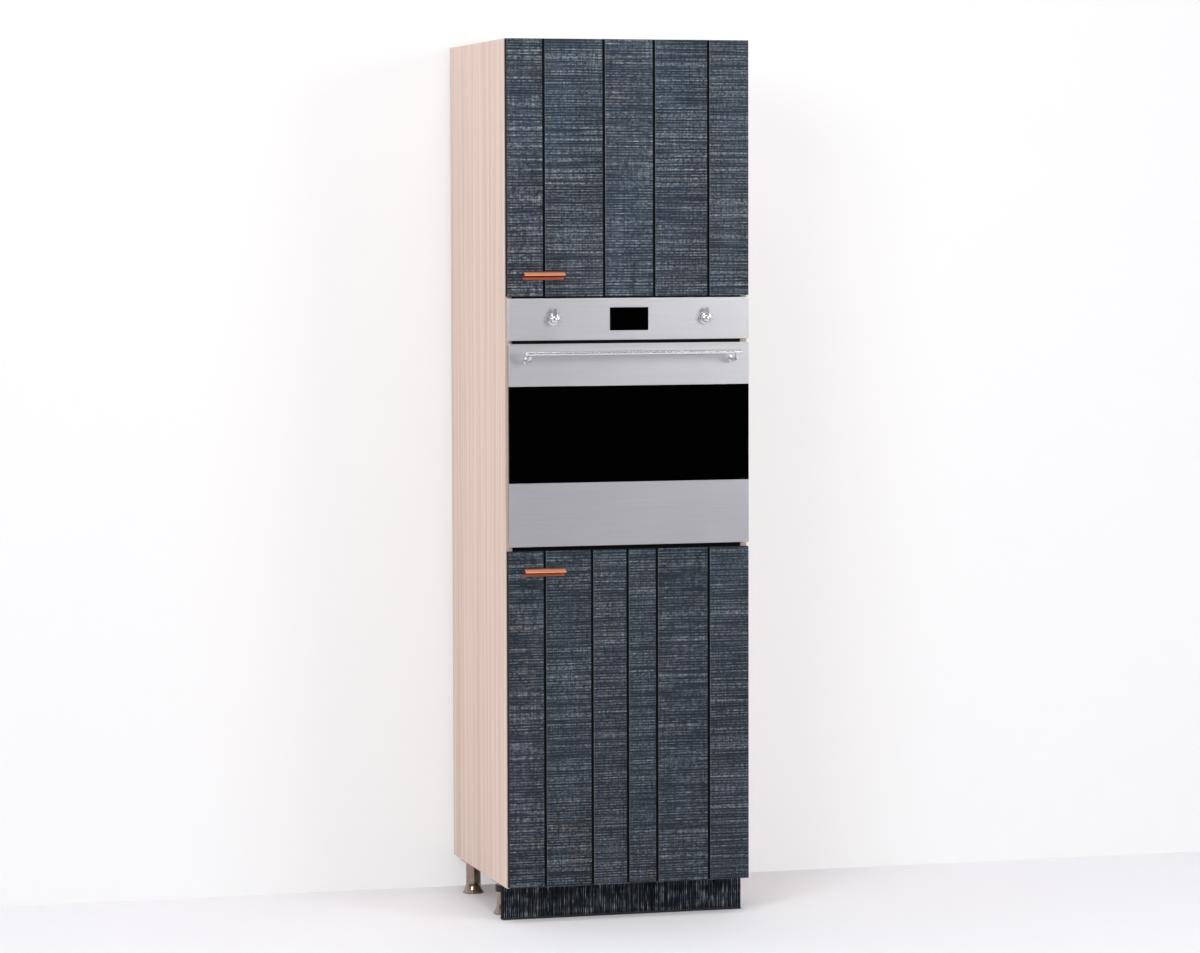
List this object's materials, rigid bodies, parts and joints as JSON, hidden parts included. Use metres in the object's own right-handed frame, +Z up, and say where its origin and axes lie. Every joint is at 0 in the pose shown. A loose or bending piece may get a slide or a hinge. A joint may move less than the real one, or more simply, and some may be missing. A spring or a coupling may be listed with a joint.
{
  "type": "tall oven housing unit",
  "caption": "Tall freestanding kitchen unit with an upper and a lower plank-clad door around a built-in oven with a drop-down door, on a recessed plinth and levelling legs.",
  "frame": {"origin": "middle of the bounding box's floor face, on the floor midway between the two sides", "axes": "+Z up, +X to the right as seen from the front, +Y from the front to the back"},
  "size_m": [0.6, 0.6389, 2.112],
  "materials": {
    "pale_board": "pale wood-grain laminate",
    "dark_core": "black-edged board",
    "dark_plank": "rough-sawn dark indigo-blue wood",
    "copper": "brushed copper",
    "nickel": "polished nickel plate",
    "zinc": "zinc-plated pressed steel",
    "bright_steel": "polished chrome",
    "brushed_front": "horizontally brushed stainless steel",
    "black_glass": "black printed glass",
    "black_sheet": "black enamelled sheet",
    "enamel": "grey-black speckled oven enamel",
    "gasket_rubber": "soft silicone",
    "black_plastic": "moulded black plastic",
    "lamp_glass": "ribbed heat-proof glass"
  },
  "bodies": {
    "carcass": {"left_side_panel": "pale_board", "right_side_panel": "pale_board", "top_panel": "pale_board", "bottom_panel": "pale_board", "oven_shelf": "pale_board", "oven_top_shelf": "pale_board", "upper_back_panel": "pale_board", "lower_back_panel": "pale_board", "rear_rails": "pale_board", "upper_shelf": "pale_board", "lower_shelf": "pale_board", "shelf_pins": "zinc", "wall_brackets": "zinc", "cabinet_hinge_arms": "zinc", "door_bumpers": "gasket_rubber", "legs": "nickel", "plinth_board": "dark_plank", "plinth_seal": "black_plastic", "plinth_clips": "black_plastic", "oven_casing": "zinc", "oven_rear_cover": "zinc", "oven_cavity_liner": "enamel", "oven_front_frame": "black_sheet", "oven_gasket": "gasket_rubber", "rack_guides": "bright_steel", "wire_rack": "bright_steel", "baking_tray": "enamel", "fan_cover": "enamel", "heating_elements": "black_sheet", "oven_lamp": "lamp_glass", "fan_motor": "zinc", "control_panel": "brushed_front", "display_window": "black_glass", "oven_hinge_arms": "zinc"},
    "upper_hinge_links": {"upper_inner_links": "zinc"},
    "upper_door": {"upper_door_board": "dark_core", "upper_door_planks": "dark_plank", "upper_door_pull": "copper", "upper_hinge_cups": "zinc"},
    "upper_hinge_forks": {"upper_outer_links": "zinc"},
    "lower_hinge_links": {"lower_inner_links": "zinc"},
    "lower_door": {"lower_door_board": "dark_core", "lower_door_planks": "dark_plank", "lower_door_pull": "copper", "lower_hinge_cups": "zinc"},
    "lower_hinge_forks": {"lower_outer_links": "zinc"},
    "oven_door": {"oven_door_top_band": "brushed_front", "oven_door_outer_glass": "black_glass", "oven_door_bottom_band": "brushed_front", "oven_door_inner_glass": "black_glass", "oven_door_frame": "black_sheet", "oven_door_handle": "bright_steel", "oven_door_hinge_pins": "zinc"},
    "fan": {"oven_fan": "zinc"},
    "temperature_knob": {"temperature_knob": "bright_steel"},
    "function_knob": {"function_knob": "bright_steel"},
    "front_left_foot": {"front_left_foot": "nickel"},
    "front_right_foot": {"front_right_foot": "nickel"},
    "rear_left_foot": {"rear_left_foot": "nickel"},
    "rear_right_foot": {"rear_right_foot": "nickel"}
  },
  "joints": [
    {"name": "upper_link_turn", "type": "hinge", "parent": "carcass", "child": "upper_hinge_links", "pos_m": [0.25, -0.23725, 1.8065], "axis": [0, 0, 1], "range_deg": [-17.46, 0]},
    {"name": "upper_door_swing", "type": "hinge", "parent": "upper_hinge_links", "child": "upper_door", "pos_m": [0.286, -0.25175, 1.8065], "axis": [0, 0, 1], "range_deg": [0, 107.45], "stiffness_Nm_per_rad": 1, "springref_deg": -17.19},
    {"name": "upper_fork_turn", "type": "hinge", "parent": "upper_door", "child": "upper_hinge_forks", "pos_m": [0.2885, -0.24605, 1.8065], "axis": [0, 0, 1], "range_deg": [-113.98, 0]},
    {"name": "lower_link_turn", "type": "hinge", "parent": "carcass", "child": "lower_hinge_links", "pos_m": [0.25, -0.23725, 0.49125], "axis": [0, 0, 1], "range_deg": [-17.46, 0]},
    {"name": "lower_door_swing", "type": "hinge", "parent": "lower_hinge_links", "child": "lower_door", "pos_m": [0.286, -0.25175, 0.49125], "axis": [0, 0, 1], "range_deg": [0, 107.45], "stiffness_Nm_per_rad": 1, "springref_deg": -17.19},
    {"name": "lower_fork_turn", "type": "hinge", "parent": "lower_door", "child": "lower_hinge_forks", "pos_m": [0.2885, -0.24605, 0.49125], "axis": [0, 0, 1], "range_deg": [-113.98, 0]},
    {"name": "oven_door_drop", "type": "hinge", "parent": "carcass", "child": "oven_door", "pos_m": [0, -0.25425, 0.914], "axis": [1, 0, 0], "range_deg": [0, 90], "stiffness_Nm_per_rad": 8, "springref_deg": -34.38},
    {"name": "fan_spin", "type": "hinge", "parent": "carcass", "child": "fan", "pos_m": [0, 0.17875, 1.1275], "axis": [0, 1, 0], "continuous": true},
    {"name": "temperature_turn", "type": "hinge", "parent": "carcass", "child": "temperature_knob", "pos_m": [-0.18825, -0.26125, 1.447], "axis": [0, 1, 0], "range_deg": [0, 270]},
    {"name": "function_turn", "type": "hinge", "parent": "carcass", "child": "function_knob", "pos_m": [0.18825, -0.26125, 1.447], "axis": [0, 1, 0], "continuous": true},
    {"name": "front_left_foot_level", "type": "slide", "parent": "carcass", "child": "front_left_foot", "axis": [0, 0, -1], "range_m": [0, 0.02]},
    {"name": "front_right_foot_level", "type": "slide", "parent": "carcass", "child": "front_right_foot", "axis": [0, 0, -1], "range_m": [0, 0.02]},
    {"name": "rear_left_foot_level", "type": "slide", "parent": "carcass", "child": "rear_left_foot", "axis": [0, 0, -1], "range_m": [0, 0.02]},
    {"name": "rear_right_foot_level", "type": "slide", "parent": "carcass", "child": "rear_right_foot", "axis": [0, 0, -1], "range_m": [0, 0.02]}
  ],
  "couplings": [
    {"joint": "upper_link_turn", "follows": "upper_door_swing", "ratio": -0.16239},
    {"joint": "upper_fork_turn", "follows": "upper_door_swing", "ratio": -1.0606},
    {"joint": "lower_link_turn", "follows": "lower_door_swing", "ratio": -0.16239},
    {"joint": "lower_fork_turn", "follows": "lower_door_swing", "ratio": -1.0606}
  ]
}
